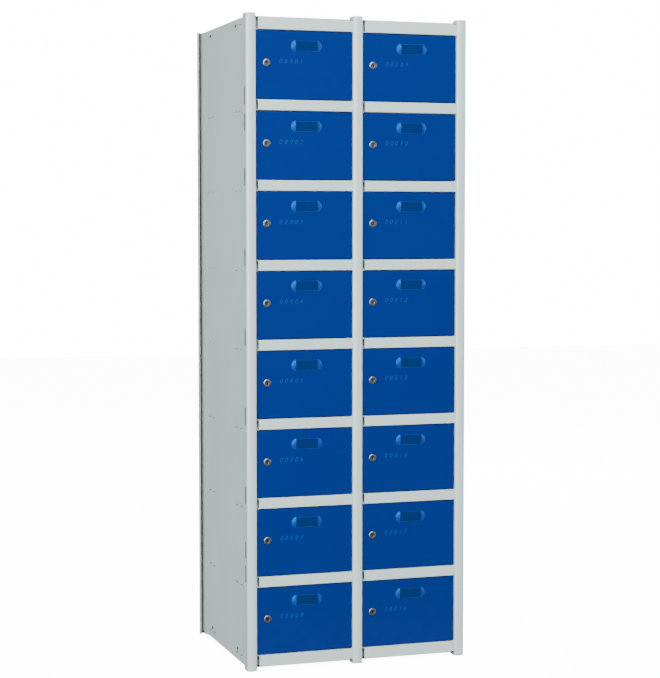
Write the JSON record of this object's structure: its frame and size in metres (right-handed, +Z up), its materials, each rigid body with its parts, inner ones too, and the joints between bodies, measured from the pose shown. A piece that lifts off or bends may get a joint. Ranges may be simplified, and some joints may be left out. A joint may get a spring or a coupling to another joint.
{
  "type": "phone locker cabinet",
  "caption": "Tall steel locker cabinet for phones, with small hinged doors in two columns, each with a cam lock and a card holder.",
  "frame": {"origin": "on the floor, in the middle of the footprint", "axes": "+Z up, -Y towards the person who opens the doors, +X to their right"},
  "size_m": [0.6604, 0.51, 1.8],
  "materials": {
    "frame_paint": "satin",
    "panel_paint": "satin",
    "door_paint": "satin",
    "nickel": "gloss",
    "bush_plastic": "matte"
  },
  "bodies": {
    "cabinet": {"front_posts": "frame_paint", "front_rails": "frame_paint", "inner_sleeves": "panel_paint", "side_panel_left": "panel_paint", "side_panel_right": "panel_paint", "centre_partition": "panel_paint", "shelves": "panel_paint", "top_panels": "panel_paint", "bottom_panels": "panel_paint", "rear_posts": "panel_paint", "back_panels": "panel_paint", "hinge_bushes": "bush_plastic"},
    "door_01": {"door_01": "door_paint", "lock_case_01": "nickel"},
    "lock_01": {"lock_plug_01": "nickel"},
    "door_02": {"door_02": "door_paint", "lock_case_02": "nickel"},
    "lock_02": {"lock_plug_02": "nickel"},
    "door_03": {"door_03": "door_paint", "lock_case_03": "nickel"},
    "lock_03": {"lock_plug_03": "nickel"},
    "door_04": {"door_04": "door_paint", "lock_case_04": "nickel"},
    "lock_04": {"lock_plug_04": "nickel"},
    "door_05": {"door_05": "door_paint", "lock_case_05": "nickel"},
    "lock_05": {"lock_plug_05": "nickel"},
    "door_06": {"door_06": "door_paint", "lock_case_06": "nickel"},
    "lock_06": {"lock_plug_06": "nickel"},
    "door_07": {"door_07": "door_paint", "lock_case_07": "nickel"},
    "lock_07": {"lock_plug_07": "nickel"},
    "door_08": {"door_08": "door_paint", "lock_case_08": "nickel"},
    "lock_08": {"lock_plug_08": "nickel"},
    "door_09": {"door_09": "door_paint", "lock_case_09": "nickel"},
    "lock_09": {"lock_plug_09": "nickel"},
    "door_10": {"door_10": "door_paint", "lock_case_10": "nickel"},
    "lock_10": {"lock_plug_10": "nickel"},
    "door_11": {"door_11": "door_paint", "lock_case_11": "nickel"},
    "lock_11": {"lock_plug_11": "nickel"},
    "door_12": {"door_12": "door_paint", "lock_case_12": "nickel"},
    "lock_12": {"lock_plug_12": "nickel"},
    "door_13": {"door_13": "door_paint", "lock_case_13": "nickel"},
    "lock_13": {"lock_plug_13": "nickel"},
    "door_14": {"door_14": "door_paint", "lock_case_14": "nickel"},
    "lock_14": {"lock_plug_14": "nickel"},
    "door_15": {"door_15": "door_paint", "lock_case_15": "nickel"},
    "lock_15": {"lock_plug_15": "nickel"},
    "door_16": {"door_16": "door_paint", "lock_case_16": "nickel"},
    "lock_16": {"lock_plug_16": "nickel"}
  },
  "joints": [
    {"name": "door_01_hinge", "type": "hinge", "parent": "cabinet", "child": "door_01", "pos_m": [-0.02675, -0.241, 1.662], "axis": [0, 0, 1], "range_deg": [0, 110]},
    {"name": "lock_01_turn", "type": "hinge", "parent": "door_01", "child": "lock_01", "pos_m": [-0.26105, -0.228, 1.667], "axis": [0, 1, 0], "range_deg": [0, 90]},
    {"name": "door_02_hinge", "type": "hinge", "parent": "cabinet", "child": "door_02", "pos_m": [-0.02675, -0.241, 1.4442], "axis": [0, 0, 1], "range_deg": [0, 110]},
    {"name": "lock_02_turn", "type": "hinge", "parent": "door_02", "child": "lock_02", "pos_m": [-0.26105, -0.228, 1.4492], "axis": [0, 1, 0], "range_deg": [0, 90]},
    {"name": "door_03_hinge", "type": "hinge", "parent": "cabinet", "child": "door_03", "pos_m": [-0.02675, -0.241, 1.2264], "axis": [0, 0, 1], "range_deg": [0, 110]},
    {"name": "lock_03_turn", "type": "hinge", "parent": "door_03", "child": "lock_03", "pos_m": [-0.26105, -0.228, 1.2314], "axis": [0, 1, 0], "range_deg": [0, 90]},
    {"name": "door_04_hinge", "type": "hinge", "parent": "cabinet", "child": "door_04", "pos_m": [-0.02675, -0.241, 1.0086], "axis": [0, 0, 1], "range_deg": [0, 110]},
    {"name": "lock_04_turn", "type": "hinge", "parent": "door_04", "child": "lock_04", "pos_m": [-0.26105, -0.228, 1.0136], "axis": [0, 1, 0], "range_deg": [0, 90]},
    {"name": "door_05_hinge", "type": "hinge", "parent": "cabinet", "child": "door_05", "pos_m": [-0.02675, -0.241, 0.7908], "axis": [0, 0, 1], "range_deg": [0, 110]},
    {"name": "lock_05_turn", "type": "hinge", "parent": "door_05", "child": "lock_05", "pos_m": [-0.26105, -0.228, 0.7958], "axis": [0, 1, 0], "range_deg": [0, 90]},
    {"name": "door_06_hinge", "type": "hinge", "parent": "cabinet", "child": "door_06", "pos_m": [-0.02675, -0.241, 0.573], "axis": [0, 0, 1], "range_deg": [0, 110]},
    {"name": "lock_06_turn", "type": "hinge", "parent": "door_06", "child": "lock_06", "pos_m": [-0.26105, -0.228, 0.578], "axis": [0, 1, 0], "range_deg": [0, 90]},
    {"name": "door_07_hinge", "type": "hinge", "parent": "cabinet", "child": "door_07", "pos_m": [-0.02675, -0.241, 0.3552], "axis": [0, 0, 1], "range_deg": [0, 110]},
    {"name": "lock_07_turn", "type": "hinge", "parent": "door_07", "child": "lock_07", "pos_m": [-0.26105, -0.228, 0.3602], "axis": [0, 1, 0], "range_deg": [0, 90]},
    {"name": "door_08_hinge", "type": "hinge", "parent": "cabinet", "child": "door_08", "pos_m": [-0.02675, -0.241, 0.1374], "axis": [0, 0, 1], "range_deg": [0, 110]},
    {"name": "lock_08_turn", "type": "hinge", "parent": "door_08", "child": "lock_08", "pos_m": [-0.26105, -0.228, 0.1424], "axis": [0, 1, 0], "range_deg": [0, 90]},
    {"name": "door_09_hinge", "type": "hinge", "parent": "cabinet", "child": "door_09", "pos_m": [0.27925, -0.241, 1.662], "axis": [0, 0, 1], "range_deg": [0, 110]},
    {"name": "lock_09_turn", "type": "hinge", "parent": "door_09", "child": "lock_09", "pos_m": [0.04495, -0.228, 1.667], "axis": [0, 1, 0], "range_deg": [0, 90]},
    {"name": "door_10_hinge", "type": "hinge", "parent": "cabinet", "child": "door_10", "pos_m": [0.27925, -0.241, 1.4442], "axis": [0, 0, 1], "range_deg": [0, 110]},
    {"name": "lock_10_turn", "type": "hinge", "parent": "door_10", "child": "lock_10", "pos_m": [0.04495, -0.228, 1.4492], "axis": [0, 1, 0], "range_deg": [0, 90]},
    {"name": "door_11_hinge", "type": "hinge", "parent": "cabinet", "child": "door_11", "pos_m": [0.27925, -0.241, 1.2264], "axis": [0, 0, 1], "range_deg": [0, 110]},
    {"name": "lock_11_turn", "type": "hinge", "parent": "door_11", "child": "lock_11", "pos_m": [0.04495, -0.228, 1.2314], "axis": [0, 1, 0], "range_deg": [0, 90]},
    {"name": "door_12_hinge", "type": "hinge", "parent": "cabinet", "child": "door_12", "pos_m": [0.27925, -0.241, 1.0086], "axis": [0, 0, 1], "range_deg": [0, 110]},
    {"name": "lock_12_turn", "type": "hinge", "parent": "door_12", "child": "lock_12", "pos_m": [0.04495, -0.228, 1.0136], "axis": [0, 1, 0], "range_deg": [0, 90]},
    {"name": "door_13_hinge", "type": "hinge", "parent": "cabinet", "child": "door_13", "pos_m": [0.27925, -0.241, 0.7908], "axis": [0, 0, 1], "range_deg": [0, 110]},
    {"name": "lock_13_turn", "type": "hinge", "parent": "door_13", "child": "lock_13", "pos_m": [0.04495, -0.228, 0.7958], "axis": [0, 1, 0], "range_deg": [0, 90]},
    {"name": "door_14_hinge", "type": "hinge", "parent": "cabinet", "child": "door_14", "pos_m": [0.27925, -0.241, 0.573], "axis": [0, 0, 1], "range_deg": [0, 110]},
    {"name": "lock_14_turn", "type": "hinge", "parent": "door_14", "child": "lock_14", "pos_m": [0.04495, -0.228, 0.578], "axis": [0, 1, 0], "range_deg": [0, 90]},
    {"name": "door_15_hinge", "type": "hinge", "parent": "cabinet", "child": "door_15", "pos_m": [0.27925, -0.241, 0.3552], "axis": [0, 0, 1], "range_deg": [0, 110]},
    {"name": "lock_15_turn", "type": "hinge", "parent": "door_15", "child": "lock_15", "pos_m": [0.04495, -0.228, 0.3602], "axis": [0, 1, 0], "range_deg": [0, 90]},
    {"name": "door_16_hinge", "type": "hinge", "parent": "cabinet", "child": "door_16", "pos_m": [0.27925, -0.241, 0.1374], "axis": [0, 0, 1], "range_deg": [0, 110]},
    {"name": "lock_16_turn", "type": "hinge", "parent": "door_16", "child": "lock_16", "pos_m": [0.04495, -0.228, 0.1424], "axis": [0, 1, 0], "range_deg": [0, 90]}
  ]
}
